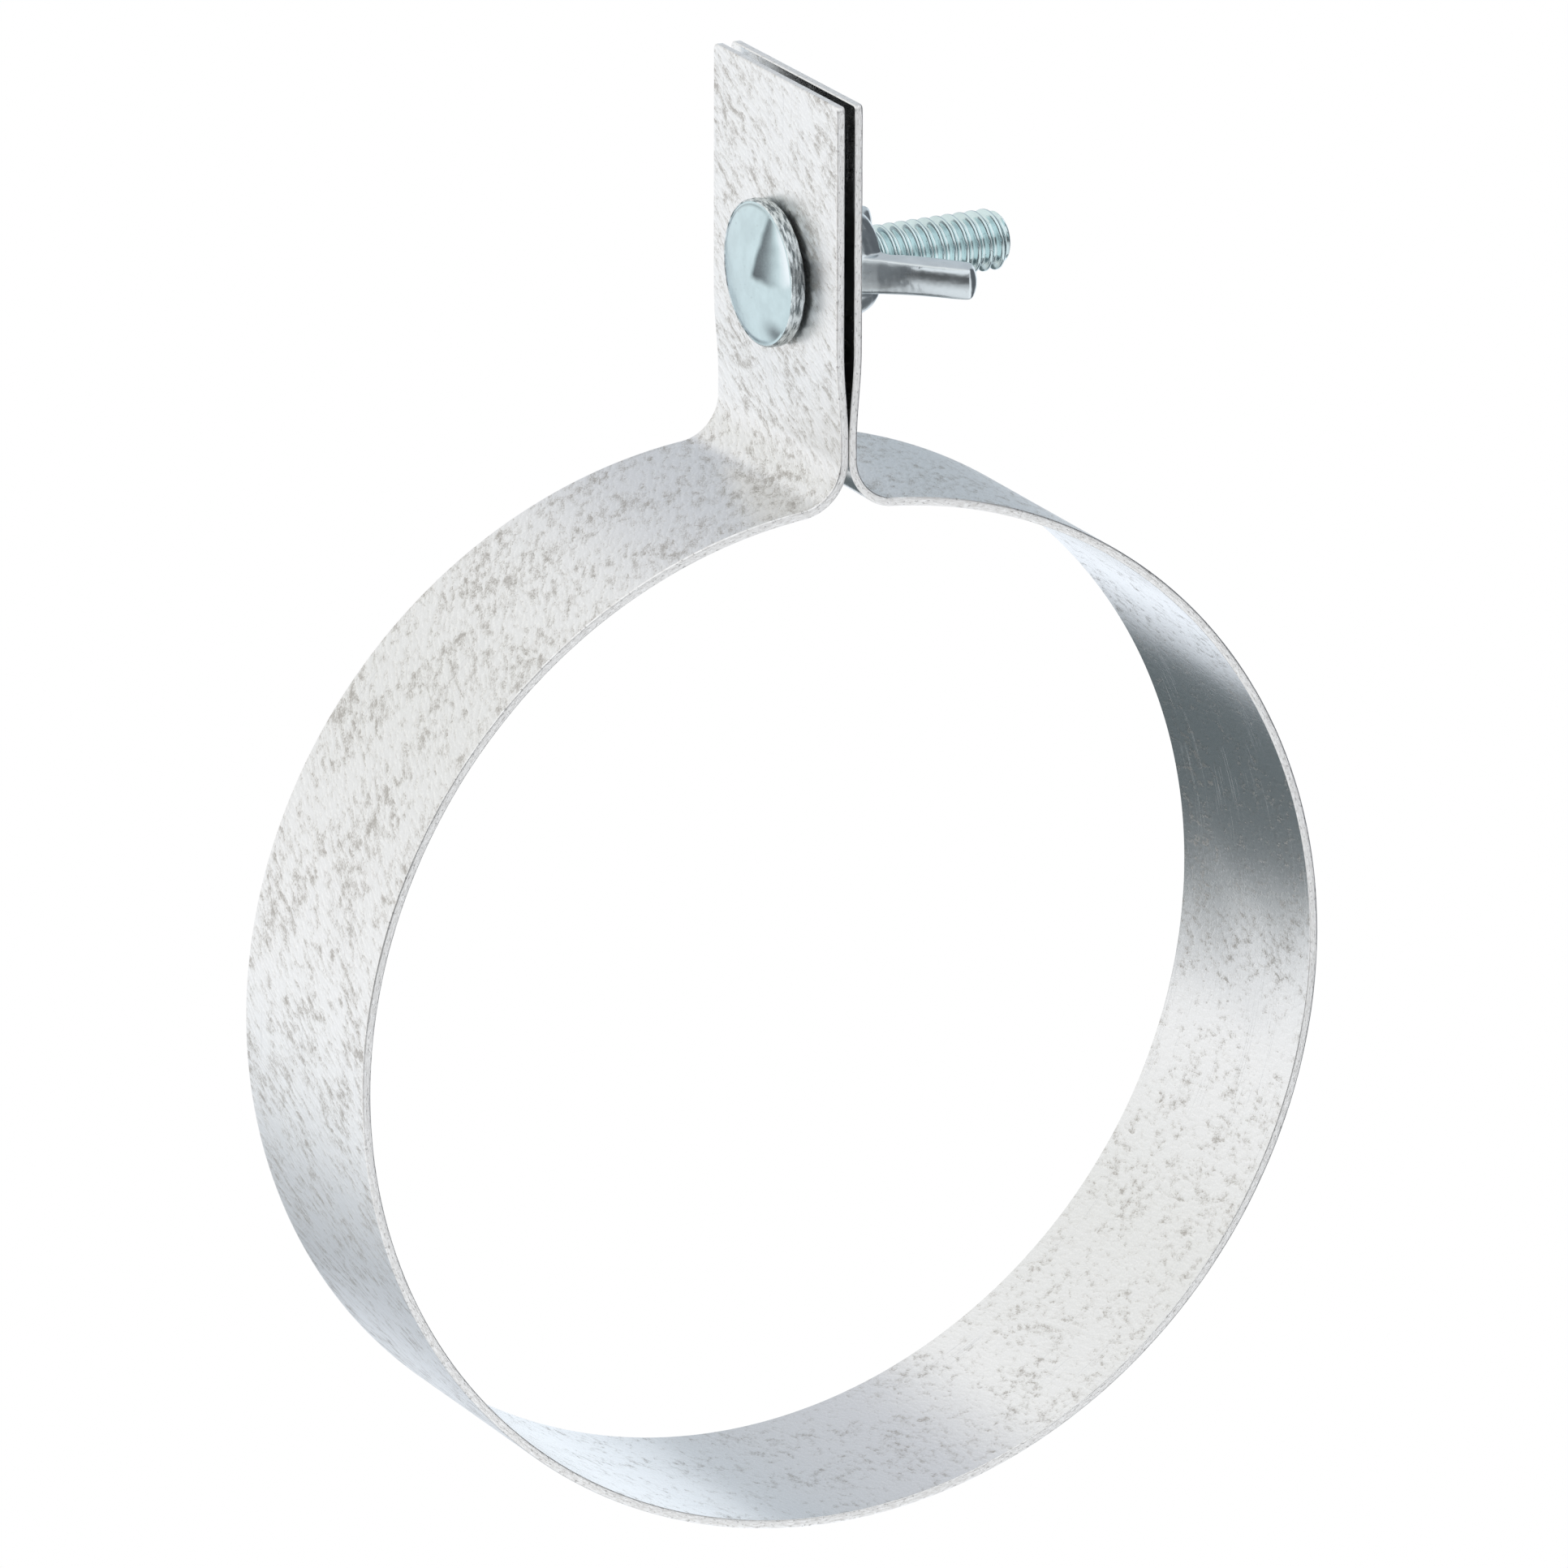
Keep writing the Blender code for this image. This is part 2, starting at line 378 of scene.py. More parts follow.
def tear(along, out, side):
    """The sheared edge's roughness, always into the sheet."""
    place = Vector((along / MM * 1.7, out / MM * 4.0, side * 31.0))
    fine = noise.noise(place)
    coarse = noise.noise(place * 0.23 + Vector((7.0, 0, 0)))
    return EDGE_TEAR * (0.5 + 0.32 * fine + 0.4 * coarse)


def strap_ring(shape, along):
    """A ring of vertices round the sheet, as (vertex, slot, along, across, out)."""
    mirror = -1 if along < 0 else 1
    centre, outward = LINE.point(abs(along)), LINE.outward(abs(along))
    to_end = LINE.length - abs(along)
    half_width = HALF_WIDTH - rounded(to_end, CORNER_RADIUS)
    half_thickness = SHEET / 2 - rounded(to_end, OUTER_EDGE_ROUND)
    ring = []
    for across, out, slot in sheet_section(half_width, half_thickness):
        if slot == EDGE:
            side = math.copysign(1, across)
            near_edge = smooth_step(abs(across), half_width - TEAR_REACH, half_width)
            across -= side * tear(along, out, side) * near_edge
        place = centre + outward * out + Vector((0, across, 0))
        vertex = shape.verts.new((mirror * place.x, place.y, place.z))
        ring.append((vertex, slot, along, across, out))
    return ring


def join_rings(shape, layer, first, second):
    """Faces between two rings, each with its slot and its place on the flat sheet, in millimetres."""
    places = {item[0]: item for item in first + second}
    for i, face in bridge(shape, [item[0] for item in first], [item[0] for item in second]):
        slots = {first[i][1], first[(i + 1) % len(first)][1]}
        face.material_index = slots.pop() if len(slots) == 1 else EDGE
        for loop in face.loops:
            _, _, along, across, out = places[loop.vert]
            wrap = (out - SHEET / 2) if face.material_index == EDGE else 0.0
            loop[layer].uv = (along / MM, (across - math.copysign(wrap, across)) / MM)


def close_end(shape, layer, ring):
    """A face across the sheet's end, laid out clear of the rest of the flat sheet."""
    cap = shape.faces.new([item[0] for item in ring])
    cap.material_index = EDGE
    for loop, (_, _, _, across, out) in zip(cap.loops, ring):
        loop[layer].uv = (out / MM + CAP_PLACE, across / MM)


def strap_piece(name, start, end, materials):
    """A length of the strap, from start to end along it; the -X side has negative lengths."""
    shape = bmesh.new()
    layer = shape.loops.layers.uv.new("sheet")
    rings = [strap_ring(shape, along) for along in stations(start, end)]
    for first, second in zip(rings, rings[1:]):
        join_rings(shape, layer, first, second)
    for ring in (rings[0], rings[-1]):
        close_end(shape, layer, ring)
    return new_piece(name, shape, materials)


def build_strap(materials):
    """The strap as one sheet: two sides with their ears, and the lower half of the hoop."""
    quarter = LINE.hoop_length - HOOP_RADIUS * LINE.meeting
    nut_side = strap_piece("strap_nut_half", quarter, LINE.length, materials)
    cut(nut_side, bar_along_x(0.0, 2 * EAR_OUTER_X, ROUND_HOLE, 48))
    head_side = strap_piece("strap_head_half", -LINE.length, -quarter, materials)
    cut(head_side, bar_along_x(-2 * EAR_OUTER_X, 0.0, SQUARE_HOLE / 2, 4, math.pi / 4))
    belly = strap_piece("strap_belly", -quarter, quarter, materials)
    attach(nut_side, "nut_side")
    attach(head_side, "head_side")
    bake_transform(belly)
    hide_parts("strap_nut_side")
    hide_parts("strap_bolt_side")


# The carriage bolt


def thread_radius(x, angle, start, end):
    """The right-handed thread's surface, running out at the neck and chamfered at the tip."""
    turn = ((x - start) / THREAD_PITCH - angle / (2 * math.pi)) % 1.0
    flank = abs(2 * turn - 1)
    groove = smooth_step(flank, 0.12, 0.86)
    depth = THREAD_DEPTH * groove * smooth_step(x, start, start + THREAD_PITCH)
    chamfer = max(0.0, THREAD_CHAMFER - (end - x)) * 0.95
    wear = THREAD_WEAR * noise.noise(Vector((x / MM * 1.3, 3 * math.cos(angle), 3 * math.sin(angle))))
    return min(THREAD_RADIUS - depth, THREAD_RADIUS - chamfer) + wear - THREAD_WEAR


def threaded_shank(materials):
    """The shank: a helical thread from the neck to the tip, with a slightly dished end."""
    shape = bmesh.new()
    start = HEAD_BACK_X + NECK_LENGTH
    end = BOLT_HIGH.x + BOLT_FORWARD
    angles = angles_round(72)
    rows = round((end - start) / THREAD_STEP)
    rings = []
    for row in range(rows + 1):
        x = start + (end - start) * row / rows
        rings.append([shape.verts.new(around(x, thread_radius(x, a, start, end), a)) for a in angles])
    tip = rings[-1]
    for dish, share in ((0.04, 0.9), (-0.03, 0.6), (-0.06, 0.25)):
        ring = []
        for vertex in tip:
            offset = Vector((0, vertex.co.y, vertex.co.z - AXIS_Z)) * share
            ring.append(shape.verts.new((end + dish * MM, offset.y, AXIS_Z + offset.z)))
        rings.append(ring)
    for first, second in zip(rings, rings[1:]):
        bridge(shape, first, second)
    shape.faces.new(rings[0])
    shape.faces.new(rings[-1])
    return new_piece("bolt_thread", shape, materials, 60)


def forging_fold(y, z):
    """The fold in the head's face, at a place in millimetres: its depth, and its tone.

    The fold is a facet between a leaning side and the rim, with painted shade at that side and a painted
    highlight at the rim.
    The tone runs from -1, painted highlight, through 0, the plain face, to 1, painted shade, and holds a
    darker patch and painted shade along the rim on its +Y side too.
    """
    radius = math.hypot(y, z)
    wobble = 0.2 * noise.noise(Vector((y * 0.8, z * 0.8, 5.0)))
    from_side = -FOLD_LEAN * z - y + wobble
    from_below = z + FOLD_DROP - 0.08 * max(-3.5 - y, 0.0) ** 2 + wobble
    inside = smooth_step(from_side, -0.45, 0.3) * smooth_step(from_below, -0.45, 0.45)
    side_to_rim = math.sqrt(max(FOLD_REACH**2 - z**2, 0.5)) - FOLD_LEAN * z
    share = min(max(from_side / side_to_rim, 0.0), 1.0)
    fade = 1 - smooth_step(radius, 6.6, 7.0)
    # Painted shade at the leaning side, turning to a painted highlight at the rim, with more painted shade
    # along the fold's lower edge.
    facet = 0.93 * math.cos(2.31 * share) + 0.2 * math.exp(-max(from_below, 0.0)) - 0.05
    facet *= inside * fade
    # A darker patch low on the face, towards -Y.
    dark_patch = 0.8 * math.exp(-((y - DARK_PATCH_Y) ** 2) / 3.0 - (z - DARK_PATCH_Z) ** 2 / 0.9)
    # Painted shade along the rim on its +Y side.
    outline = 0.75 * smooth_step(radius, 6.35, 6.85) * smooth_step(y, -3.0, 0.5)
    depth = 0.12 * inside * (1 - share) * fade
    tone = facet if facet < 0 else max(facet, dark_patch, outline)
    return depth, tone


def head_height(radius, angle):
    """Height of the head's face over its rim: a low dome with the forging's fold."""
    dome = HEAD_DOME * (1 - (radius / HEAD_RADIUS) ** 2)
    y, z = radius * math.cos(angle) / MM, radius * math.sin(angle) / MM
    dome -= HEAD_EDGE_DROP * smooth_step(radius, HEAD_RADIUS - 0.9 * MM, HEAD_RADIUS - 0.25 * MM)
    wave = 0.018 * noise.noise(Vector((y * 0.35, z * 0.35, 2.0)))
    return dome + (wave - forging_fold(y, z)[0]) * MM


def rim_ring(shape, share, angles):
    """A ring of the head's rough, rounded rim, at a share of the way from its face to its back."""
    turn = math.pi * share
    square = (abs(math.cos(turn)) ** 0.8) * math.copysign(1, math.cos(turn))
    x = HEAD_BACK_X - HEAD_RIM / 2 - square * HEAD_RIM / 2
    bulge = HEAD_RADIUS - HEAD_EDGE_ROUND * (1 - math.sin(turn) ** 0.6)
    ring = []
    for a in angles:
        place = Vector((share * 7.7, 9 * math.cos(a), 9 * math.sin(a)))
        rough = 0.05 * noise.noise(place) + 0.035 * noise.noise(place * 3.1)
        ring.append(shape.verts.new(around(x, bulge - (0.06 + rough) * MM, a)))
    return ring


def bolt_head(materials):
    """The head: a low dome, a rounded rough rim and a flat back."""
    shape = bmesh.new()
    steps, face_steps, rim_steps = 144, 52, 22
    rim_x = HEAD_BACK_X - HEAD_RIM
    face_radius = HEAD_RADIUS - HEAD_EDGE_ROUND
    angles = angles_round(steps)
    rings = []
    for i in range(1, face_steps + 1):
        radius = face_radius * i / face_steps
        rings.append([shape.verts.new(around(rim_x - head_height(radius, a), radius, a)) for a in angles])
    rings += [rim_ring(shape, i / rim_steps, angles) for i in range(1, rim_steps)]
    rings.append([shape.verts.new(around(HEAD_BACK_X, NECK_SIDE / 2, a)) for a in angles])
    for number, (first, second) in enumerate(zip(rings, rings[1:])):
        for _, face in bridge(shape, first, second):
            face.material_index = 0 if number < face_steps - 1 else 1
    centre = shape.verts.new((rim_x - head_height(0, 0), 0, AXIS_Z))
    for i in range(steps):
        shape.faces.new((centre, rings[0][(i + 1) % steps], rings[0][i]))
    shape.faces.new(rings[-1])
    head = new_piece("bolt_head", shape, materials, 50)
    # The fold's tone, painted shade and highlight with the darker patch, kept for the head's material.
    fold = head.data.attributes.new("fold", "FLOAT", "POINT")
    for vertex, tone in zip(head.data.vertices, fold.data):
        if vertex.co.x < rim_x:
            tone.value = forging_fold(vertex.co.y / MM, (vertex.co.z - AXIS_Z) / MM)[1]
    return head


def square_neck(materials):
    """The square neck that stops the bolt from turning in its ear, with eased corners."""
    start = HEAD_BACK_X - NECK_INTO_HEAD
    end = HEAD_BACK_X + NECK_LENGTH + NECK_INTO_SHANK
    shape = bar_along_x(start, end, NECK_SIDE / 2, 4, math.pi / 4)
    long_edges = [e for e in shape.edges if abs(e.verts[0].co.x - e.verts[1].co.x) > MM]
    bmesh.ops.bevel(shape, geom=long_edges, offset=NECK_CORNER, segments=4, profile=0.5, affect="EDGES")
    return new_piece("bolt_neck", shape, materials)


def build_bolt(head, rim, shank):
    """The bolt in three pieces that overlap inside it: head, square neck and thread."""
    pieces = [bolt_head([head, rim]), square_neck([shank]), threaded_shank([shank])]
    for piece in pieces:
        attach(piece, "bolt")
    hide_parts("carriage_bolt")


# The wing nut


def nut_hub():
    """The hub: a cone with a round shoulder, open along its bore."""
    bore = NUT_BORE / MM
    profile = [
        (0.0, bore), (0.0, 5.6), (0.25, 5.85), (2.0, 5.7), (4.2, 5.5), (5.4, 5.25),
        (6.1, 4.95), (6.5, 4.55), (6.6, 4.1), (6.6, bore + 0.25), (6.4, bore),
    ]
    shape = bmesh.new()
    angles = angles_round(96)
    rings = []
    for height, radius in profile:
        rings.append([shape.verts.new(around(NUT_BASE_X + height * MM, radius * MM, a)) for a in angles])
    for first, second in zip(rings, rings[1:] + rings[:1]):
        bridge(shape, first, second)
    return shape


def add_wing(shape, side):
    """A wing from the hub's flank, thicker at its root, with convex flanks and rounded rims."""
    rings = []
    for level, inset in WING_FLANK:
        ring = []
        for i, (height, radius) in enumerate(WING_OUTLINE):
            before = Vector(WING_OUTLINE[i - 1])
            after = Vector(WING_OUTLINE[(i + 1) % len(WING_OUTLINE)])
            along = (after - before).normalized()
            inward = Vector((along.y, -along.x))
            corner = Vector((height, radius)) + inward * (inset if i > 1 else 0.0)
            thick = WING_HALF_THICKNESS * (1 + 0.20 * (1 - smooth_step(radius, 4.0, 10.0)))
            place = (NUT_BASE_X + corner.x * MM, side * corner.y * MM, AXIS_Z + level * thick)
            ring.append(shape.verts.new(place))
        rings.append(ring)
    for first, second in zip(rings, rings[1:]):
        bridge(shape, first, second)
    shape.faces.new(rings[0])
    shape.faces.new(rings[-1])


def build_nut(plated):
    """The forged nut: hub and wings grown together, with soft fillets where they meet."""
    hub = nut_hub()
    for side in (-1, 1):
        add_wing(hub, side)
    nut = new_piece("wing_nut_body", hub, [plated])
    remesh = nut.modifiers.new("remesh", "REMESH")
    remesh.mode = "VOXEL"
    remesh.voxel_size = NUT_VOXEL
    soften = nut.modifiers.new("soften", "SMOOTH")
    soften.factor = 0.5
    soften.iterations = 9
    apply_modifiers(nut)
    roughen(nut.data, (0.03 * MM, 0.45), (0.008 * MM, 2.1))
    nut.data.shade_smooth()
    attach(nut, "nut")
    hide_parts("wing_nut")


# Materials


class Graph:
    """Adds nodes to a node tree; an input's value is a socket, which is linked, or a constant."""

    def __init__(self, tree):
        self.tree = tree

    def add(self, kind, inputs=None, **settings):
        made = self.tree.nodes.new(kind)
        for name, value in settings.items():
            setattr(made, name, value)
        for name, value in (inputs or {}).items():
            if isinstance(value, bpy.types.NodeSocket):
                self.tree.links.new(value, made.inputs[name])
            else:
                made.inputs[name].default_value = value
        return made

    def math(self, operation, first, second=0.0, clamp=False):
        inputs = {0: first, 1: second}
        return self.add("ShaderNodeMath", inputs, operation=operation, use_clamp=clamp).outputs[0]

    def band(self, value, low, high, to_low=0.0, to_high=1.0):
        """A smooth step from to_low to to_high as the value goes from low to high."""
        inputs = {0: value, 1: low, 2: high, 3: to_low, 4: to_high}
        return self.add("ShaderNodeMapRange", inputs, interpolation_type="SMOOTHSTEP").outputs[0]

    def stretched(self, place, size, turn=0.0, shift=(0.0, 0.0, 0.0)):
        """The place divided by a size along each axis, after a shift and a turn about Z."""
        inputs = {"Vector": place, "Location": shift, "Rotation": (0, 0, turn), "Scale": size}
        return self.add("ShaderNodeMapping", inputs, vector_type="TEXTURE").outputs[0]

    def noise(self, place, detail=3.0, roughness=0.55, distortion=0.0):
        inputs = {"Vector": place, "Scale": 1.0, "Detail": detail, "Roughness": roughness}
        inputs["Distortion"] = distortion
        return self.add("ShaderNodeTexNoise", inputs).outputs[0]

    def even_noise(self, place, size, detail=2.0):
        """Noise of one size in every direction."""
        return self.noise(self.stretched(place, (size, size, size)), detail)

    def mix(self, share, first, second):
        inputs = {0: share, 6: first, 7: second}
        return self.add("ShaderNodeMix", inputs, data_type="RGBA").outputs[2]

    def bump(self, height, distance, normal=None):
        inputs = {"Height": height, "Distance": distance, "Strength": 1.0}
        if normal:
            inputs["Normal"] = normal
        return self.add("ShaderNodeBump", inputs).outputs[0]


def new_metal(name):
    """A new material, fully metallic, with its graph and its shader."""
    material = bpy.data.materials.new(name)
    material.use_nodes = True
    shader = material.node_tree.nodes["Principled BSDF"]
    shader.inputs["Metallic"].default_value = 1.0
    return Graph(material.node_tree), shader, material


def finish_metal(graph, shader, colour, roughness, normal):
    """Links what varies over the surface to the shader."""
    graph.tree.links.new(colour, shader.inputs["Base Color"])
    graph.tree.links.new(roughness, shader.inputs["Roughness"])
    graph.tree.links.new(normal, shader.inputs["Normal"])


def speck_mass(graph, sheet, clump, turn, flecks, grain, cover):
    """How far a place is inside the specks: clumps and flecks, over a threshold that drifts."""
    drift = graph.noise(graph.stretched(sheet, (9.0, 6.0, 1.0)), 2.0)
    clumps = graph.noise(graph.stretched(sheet, (*clump, 1.0), turn), 3.0, 0.6, 0.5)
    mass = graph.math("ADD", graph.math("MULTIPLY", clumps, 0.5), graph.math("MULTIPLY", flecks, 0.5))
    mass = graph.math("ADD", mass, graph.band(grain, 0.3, 0.7, -0.05, 0.05))
    threshold = graph.band(drift, 0.32, 0.68, 0.60 - cover, 0.52 - cover)
    return graph.math("SUBTRACT", mass, threshold)


def scratches(graph, sheet):
    """Fine lengthwise scratches, in patches."""
    lines = graph.noise(graph.stretched(sheet, (18.0, 0.11, 1.0), math.radians(1.5)), 1.0)
    patches = graph.noise(graph.stretched(sheet, (11.0, 5.0, 1.0)), 1.0)
    return graph.math("MULTIPLY", graph.band(lines, 0.65, 0.73), graph.band(patches, 0.45, 0.60))


def galvanised(name, clump, fleck, slant, cover, smooth_roughness, relief_strength):
    """Galvanised sheet: pale zinc with slanted clumps of grey specks, faint scratches, a fine relief, and
    painted light and shade beside the flecks.
    """
    graph, shader, material = new_metal(name)
    sheet = graph.add("ShaderNodeUVMap", uv_map="sheet").outputs[0]
    turn = math.radians(slant)
    flecks = graph.noise(graph.stretched(sheet, (*fleck, 1.0), turn), 4.0, 0.62, 0.4)
    # The fleck noise and its shifted copy: their difference paints light on one side of each fleck and shade
    # on the other.
    beside = graph.noise(graph.stretched(sheet, (*fleck, 1.0), turn, PAINTED_EMBOSS_SHIFT), 4.0, 0.62, 0.4)
    relief = graph.math("SUBTRACT", flecks, beside)
    grain = graph.noise(graph.stretched(sheet, (0.26, 0.20, 1.0), turn), 2.0, 0.6)
    mass = speck_mass(graph, sheet, clump, turn, flecks, grain, cover)
    specks = graph.band(mass, -0.04, 0.13)
    # How strongly the painted light and shade, and the bump, show near the specks.
    near = graph.band(mass, -0.12, 0.03, 0.12 * relief_strength, relief_strength)
    scratch = scratches(graph, sheet)
    # Painted light and shade of the flecks' relief, put into the colour.
    painted_emboss = graph.mix(graph.band(relief, -0.11, 0.11), (0.66, 0.65, 0.63, 1), (0.99, 0.99, 0.985, 1))
    pale = graph.mix(near, (0.885, 0.89, 0.895, 1), painted_emboss)
    pale = graph.mix(graph.band(grain, 0.35, 0.65, 0.22, 0.0), pale, (0.70, 0.70, 0.69, 1))
    flecked = graph.mix(specks, pale, (0.50, 0.48, 0.455, 1))
    colour = graph.mix(graph.math("MULTIPLY", scratch, 0.4), flecked, (0.58, 0.59, 0.61, 1))
    roughness = graph.band(specks, 0.0, 1.0, smooth_roughness, smooth_roughness + 0.14)
    raised = graph.math("MULTIPLY", flecks, near)
    height = graph.math("SUBTRACT", raised, graph.math("MULTIPLY", specks, 0.6))
    height = graph.math("SUBTRACT", height, graph.math("MULTIPLY", scratch, 0.5))
    waves = graph.noise(graph.stretched(sheet, (13.0, 16.0, 1.0)), 1.0)
    normal = graph.bump(height, 0.012 * relief_strength * MM, graph.bump(waves, 0.09 * MM))
    finish_metal(graph, shader, colour, roughness, normal)
    return material


def border_line(graph, from_face, at, half, strength):
    """A thin line along the sheared edge, at a distance in millimetres from the sheet's outer face."""
    gap = graph.math("ABSOLUTE", graph.math("SUBTRACT", from_face, at))
    return graph.math("MULTIPLY", graph.band(gap, half * 0.4, half, 1.0, 0.0), strength)


def sheared_edge():
    """The sheared edge: a torn, pale band with darker nicks and a thin dark line along each border."""
    graph, shader, material = new_metal("sheared_edge")
    sheet = graph.add("ShaderNodeUVMap", uv_map="sheet").outputs[0]
    across = graph.math("ABSOLUTE", graph.add("ShaderNodeSeparateXYZ", {0: sheet}).outputs[1])
    from_face = graph.math("SUBTRACT", across, HALF_WIDTH / MM)
    torn = graph.noise(graph.stretched(sheet, (0.7, 0.16, 1.0)), 4.0, 0.65)
    dashes = graph.noise(graph.stretched(sheet, (1.3, 0.6, 1.0)), 2.0)
    nicks = graph.band(graph.noise(graph.stretched(sheet, (0.45, 0.20, 1.0)), 3.0), 0.56, 0.68)
    pale = graph.mix(graph.band(torn, 0.35, 0.65), (0.84, 0.825, 0.80, 1), (0.99, 0.985, 0.97, 1))
    outer_line = border_line(graph, from_face, 0.13, 0.07, graph.band(dashes, 0.40, 0.55, 0.3, 1.0))
    inner_line = border_line(graph, from_face, 0.72, 0.10, graph.band(dashes, 0.45, 0.52))
    lines = graph.math("MAXIMUM", outer_line, inner_line)
    marks = graph.math("MAXIMUM", graph.math("MULTIPLY", nicks, 0.6), graph.math("MULTIPLY", lines, 0.8))
    colour = graph.mix(marks, pale, (0.30, 0.29, 0.28, 1))
    roughness = graph.band(torn, 0.3, 0.7, 0.38, 0.27)
    normal = graph.bump(torn, 0.035 * MM)
    finish_metal(graph, shader, colour, roughness, normal)
    return material


def bright_zinc(name, tint, rough_low, rough_high, fold=False):
    """Bright zinc plate: a cool tint, faint ripples, a few pits, and a fold's painted shade, painted
    highlight and darker patch if it has one.
    """
    graph, shader, material = new_metal(name)
    place = graph.add("ShaderNodeTexCoord").outputs["Object"]
    cloud = graph.even_noise(place, 2.2 * MM, 3.0)
    fine = graph.even_noise(place, 0.16 * MM)
    pits = graph.band(graph.even_noise(place, 0.35 * MM), 0.68, 0.76)
    deeper = tuple(0.88 * channel for channel in tint[:3]) + (1,)
    colour = graph.mix(graph.band(cloud, 0.3, 0.7), deeper, tint)
    colour = graph.mix(graph.math("MULTIPLY", pits, 0.45), colour, (0.33, 0.37, 0.38, 1))
    if fold:
        tone = graph.add("ShaderNodeAttribute", attribute_name="fold").outputs["Fac"]
        # The tone below 0 is a painted highlight; above 0 it is painted shade, with the darker patch.
        bright = graph.math("MULTIPLY", tone, -1.6, clamp=True)
        painted_shade_and_patch = graph.math("MULTIPLY", tone, graph.band(fine, 0.25, 0.6, 0.9, 1.0), clamp=True)
        colour = graph.mix(bright, colour, (0.90, 0.96, 1.0, 1))
        colour = graph.mix(painted_shade_and_patch, colour, (0.06, 0.075, 0.085, 1))
    roughness = graph.band(cloud, 0.3, 0.7, rough_low, rough_high)
    height = graph.math("SUBTRACT", graph.math("MULTIPLY", fine, 0.3), pits)
    normal = graph.bump(height, 0.008 * MM, graph.bump(cloud, 0.02 * MM))
    finish_metal(graph, shader, colour, roughness, normal)
    return material


def rough_rim():
    """The head's rim: plated over the forging's rough skin, with painted crease shade where the skin noise
    is high.
    """
    graph, shader, material = new_metal("zinc_rim")
    place = graph.add("ShaderNodeTexCoord").outputs["Object"]
    skin = graph.noise(graph.stretched(place, (0.22 * MM, 1.3 * MM, 1.3 * MM)), 5.0, 0.62)
    # Painted shade, standing for the shade in the rim's crease lines, where the skin noise is high.
    crease_shade = graph.band(skin, 0.42, 0.62)
    colour = graph.mix(crease_shade, (0.84, 0.90, 0.91, 1), (0.20, 0.23, 0.24, 1))
    roughness = graph.band(skin, 0.35, 0.65, 0.2, 0.42)
    normal = graph.bump(skin, 0.12 * MM)
    finish_metal(graph, shader, colour, roughness, normal)
    return material


# The studio


def round_tent(graph, direction):
    """Light from behind the clamp, by the angle round the hoop's axis; with the direction's x, y and z."""
    split = graph.add("ShaderNodeSeparateXYZ", {0: direction})
    angle = graph.math("ARCTAN2", split.outputs[0], split.outputs[2])
    share = graph.math("FRACT", graph.math("ADD", graph.math("DIVIDE", angle, 2 * math.pi), 1.0))
    ramp = graph.add("ShaderNodeValToRGB", {0: share})
    elements = ramp.color_ramp.elements
    elements[0].position = 0.0
    elements[1].position = 1.0
    elements[0].color = elements[1].color = (*BEHIND_TONES[0][1], 1)
    for degrees, colour in BEHIND_TONES[1:]:
        elements.new(degrees / 360).color = (*colour, 1)
    return ramp.outputs[0], split.outputs[0], split.outputs[1], split.outputs[2]


def front_tent(graph, rise, values):
    """Light from the camera's side, by its direction's height."""
    ramp = graph.add("ShaderNodeValToRGB", {0: rise})
    elements = ramp.color_ramp.elements
    for element, (_, value) in zip(elements, (values[0], values[-1])):
        element.color = (value * 0.98, value, value * 1.03, 1)
    for height, value in values[1:-1]:
        elements.new((height + 1) / 2).color = (value * 0.98, value, value * 1.03, 1)
    return ramp.outputs[0]


def build_world():
    """A white tent round the clamp, with a dark gap in front on the left, and a dark right side."""
    world = bpy.data.worlds.new("studio")
    bpy.context.scene.world = world
    world.use_nodes = True
    graph = Graph(world.node_tree)
    direction = graph.add("ShaderNodeTexCoord").outputs["Generated"]
    behind, sideways, depth, height = round_tent(graph, direction)
    rise = graph.math("MULTIPLY", graph.math("ADD", height, 1.0), 0.5)
    left, right = front_tent(graph, rise, LEFT_TONES), front_tent(graph, rise, RIGHT_TONES)
    front = graph.mix(graph.band(sideways, 0.0, 0.38), left, right)
    colour = graph.mix(graph.band(depth, -0.3, 0.2), front, behind)
    dark_side = graph.math("MULTIPLY", graph.band(sideways, 0.56, 0.72), graph.band(depth, 0.65, 0.4))
    colour = graph.mix(dark_side, colour, DARK_SIDE)
    background = world.node_tree.nodes["Background"]
    world.node_tree.links.new(colour, background.inputs["Color"])
    background.inputs["Strength"].default_value = 1.0


def glow(name, colour):
    """A material that is one even tone, whatever the light."""
    material = bpy.data.materials.new(name)
    material.use_nodes = True
    tree = material.node_tree
    tree.nodes.clear()
    emission = tree.nodes.new("ShaderNodeEmission")
    emission.inputs["Color"].default_value = (*colour, 1)
    output = tree.nodes.new("ShaderNodeOutputMaterial")
    tree.links.new(emission.outputs[0], output.inputs[0])
    return material


def stage_object(name, shape, material, to_camera):
    """Something of the studio: seen either by the camera alone, or in reflections alone."""
    thing = new_piece(name, shape, [material])
    thing.visible_camera = to_camera
    thing.visible_glossy = not to_camera
    thing.visible_diffuse = False
    thing.visible_shadow = False


def card(name, corners, material):
    """An upright card behind the clamp that only the metal's reflections see, between two (x, z) corners."""
    (left, bottom), (right, top) = corners
    outline = [(left, bottom), (right, bottom), (right, top), (left, top)]
    shape = bmesh.new()
    shape.faces.new([shape.verts.new((x, CARD_DEPTH, z)) for x, z in outline])
    stage_object(name, shape, material, False)


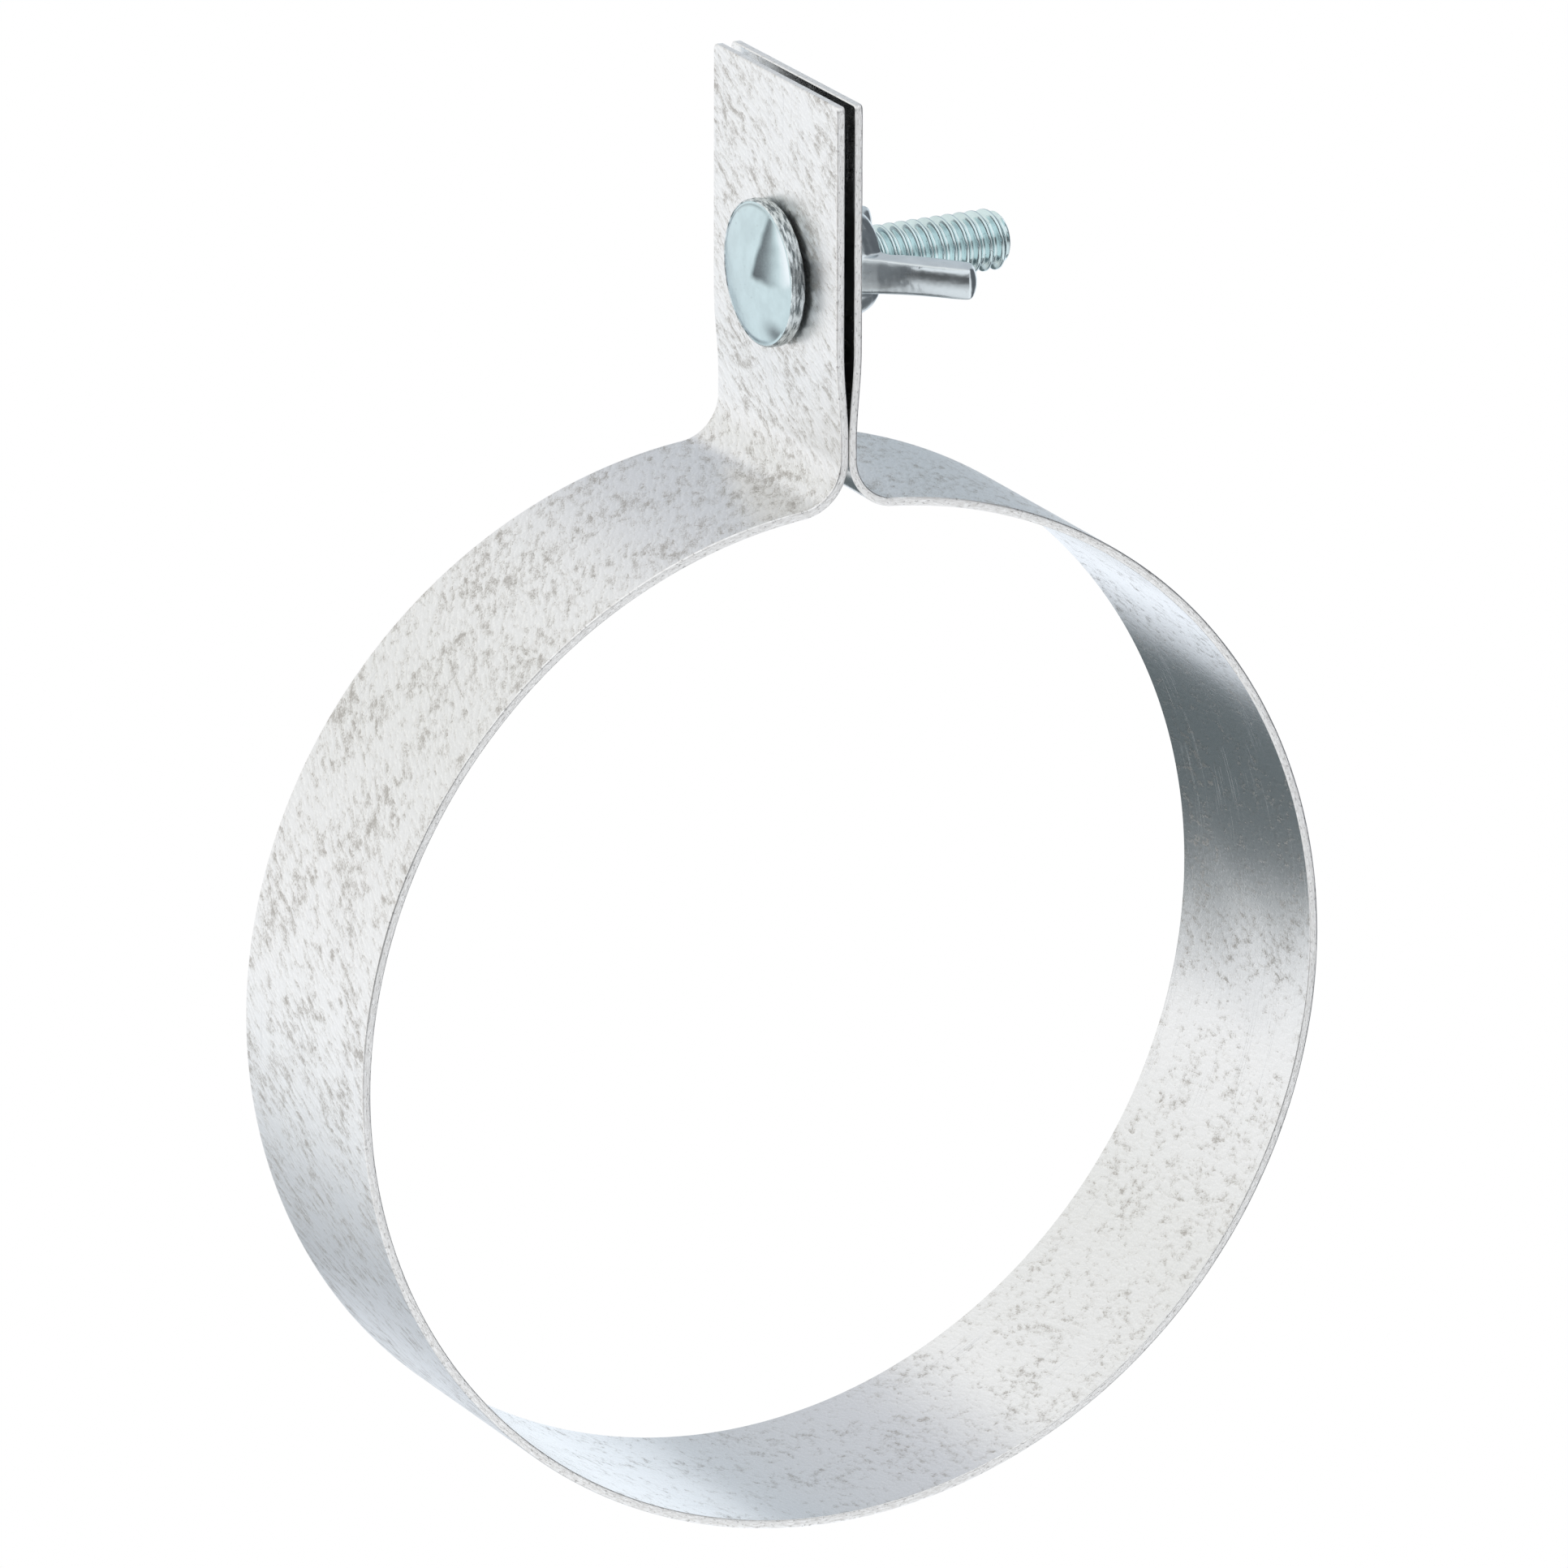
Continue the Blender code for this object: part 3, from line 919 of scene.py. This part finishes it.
def fading_glow(name, colour, far_colour, near_x, far_x):
    """A tone that fades into another from near_x to far_x."""
    material = glow(name, colour)
    graph = Graph(material.node_tree)
    place = graph.add("ShaderNodeTexCoord").outputs["Object"]
    x = graph.add("ShaderNodeSeparateXYZ", {0: place}).outputs[0]
    fade = graph.mix(graph.band(x, near_x, far_x), (*colour, 1), (*far_colour, 1))
    graph.tree.links.new(fade, graph.tree.nodes["Emission"].inputs["Color"])
    return material


def build_studio():
    """The tent, a white floor and backdrop for the camera, and two cards for the reflections."""
    build_world()
    floor = bmesh.new()
    floor_height = Matrix.Translation((0, 0, cad_low.z - FLOOR_DROP))
    bmesh.ops.create_circle(floor, cap_ends=True, segments=96, radius=STUDIO_RADIUS, matrix=floor_height)
    white = glow("white_paper", (1, 1, 1))
    stage_object("floor", floor, white, True)
    backdrop = bmesh.new()
    bmesh.ops.create_icosphere(backdrop, subdivisions=4, radius=STUDIO_RADIUS)
    stage_object("backdrop", backdrop, white, True)
    # A painted shadow for the reflections: dark in the middle, fading to pale grey towards -X.
    painted_table_shadow = fading_glow("painted_table_shadow", (0.115, 0.14, 0.15), (0.86, 0.88, 0.90), SHADOW_NEAR_X, SHADOW_FAR_X)
    card("dark_card", DARK_CARD, painted_table_shadow)
    card("grey_card", GREY_CARD, glow("grey_paper", (0.48, 0.54, 0.59)))


def build_camera():
    """The camera, seeing the clamp from its front left and a little above."""
    azimuth, elevation = math.radians(CAMERA_AZIMUTH), math.radians(CAMERA_ELEVATION)
    level = math.cos(elevation)
    back = Vector((math.sin(azimuth) * level, -math.cos(azimuth) * level, math.sin(elevation)))
    right = Vector((math.cos(azimuth), math.sin(azimuth), 0))
    up = back.cross(right)
    aim = right * AIM_RIGHT + up * AIM_UP + Vector((AIM_SHIFT_X, 0, 0))
    roll = math.radians(CAMERA_ROLL)
    side = right * math.cos(roll) + up * math.sin(roll)
    over = back.cross(side)
    data = bpy.data.cameras.new("camera")
    data.sensor_width = 36.0
    data.lens = CAMERA_LENS
    camera = bpy.data.objects.new("camera", data)
    bpy.context.scene.collection.objects.link(camera)
    turn = Matrix((side, over, back)).transposed().to_4x4()
    camera.matrix_world = Matrix.Translation(aim + back * CAMERA_DISTANCE) @ turn
    bpy.context.scene.camera = camera


def build():
    """Everything in the scene, from the camera to the nut."""
    bpy.context.scene.view_settings.view_transform = "Standard"
    build_camera()
    build_studio()
    outside = galvanised(
        "galvanised_outside", clump=(2.4, 1.0), fleck=(1.3, 0.42), slant=120, cover=0.02,
        smooth_roughness=0.30, relief_strength=1.0,
    )
    inside = galvanised(
        "galvanised_inside", clump=(1.8, 1.1), fleck=(1.0, 0.45), slant=98, cover=-0.005,
        smooth_roughness=0.17, relief_strength=0.65,
    )
    build_strap([outside, inside, sheared_edge()])
    head = bright_zinc("zinc_plate_head", HEAD_TINT, 0.12, 0.20, fold=True)
    shank = bright_zinc("zinc_plate_shank", SHANK_TINT, 0.12, 0.20)
    build_bolt(head, rough_rim(), shank)
    build_nut(bright_zinc("zinc_plate_nut", NUT_TINT, 0.14, 0.24))


build()
